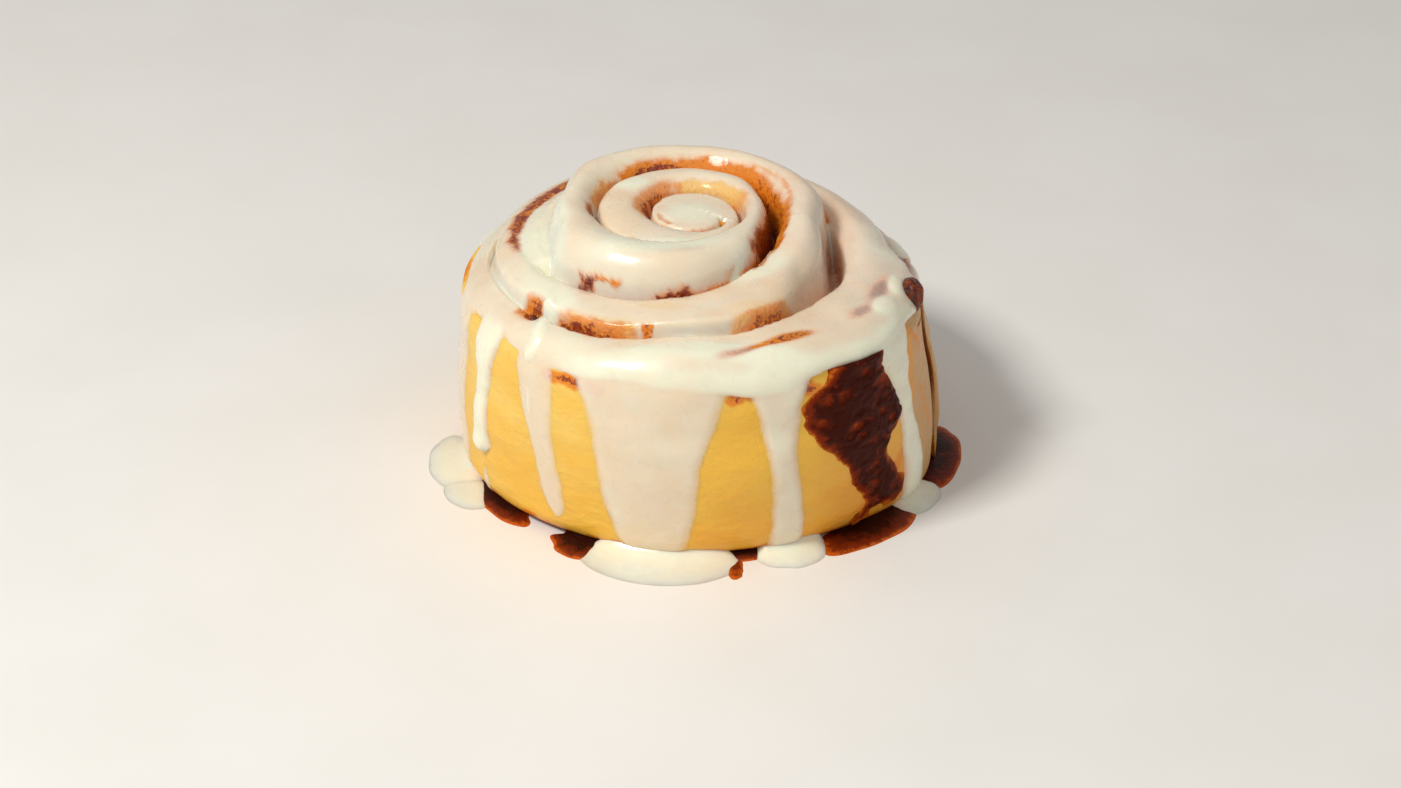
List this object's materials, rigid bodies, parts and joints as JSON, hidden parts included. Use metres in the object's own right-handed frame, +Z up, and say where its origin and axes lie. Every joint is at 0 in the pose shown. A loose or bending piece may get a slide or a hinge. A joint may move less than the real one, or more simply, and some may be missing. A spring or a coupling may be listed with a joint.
{
  "type": "cinnamon roll",
  "caption": "Coiled bread roll with cinnamon filling between its turns, cream icing over the top that runs down the wall into pools, and syrup round the base",
  "frame": {"origin": "the middle of the flat underside, on the surface that the roll rests on", "axes": "+Z is up out of the top of the coil; -Y is the front, the side with the widest sheet of icing; +X is to the right, where the outer turn ends"},
  "size_m": [0.1124, 0.1065, 0.0591],
  "materials": {
    "dough": "soft baked crumb, golden, slightly moist",
    "cinnamon": "gritty dark cinnamon and sugar paste",
    "icing": "wet cream icing, thick and opaque to thin and translucent",
    "cinnamon_glaze": "wrinkled, glossy, baked-out filling",
    "syrup": "dark baked-out syrup with cinnamon grains, glossy, orange where it is thin"
  },
  "bodies": {
    "root": {"dough": "dough", "cinnamon_filling": "cinnamon", "icing": "icing", "cinnamon_smear": "cinnamon_glaze", "syrup_puddle_left": "syrup", "syrup_puddle_front_left": "syrup", "syrup_puddle_front": "syrup", "syrup_puddle_front_right": "syrup", "syrup_puddle_right": "syrup"}
  },
  "joints": []
}
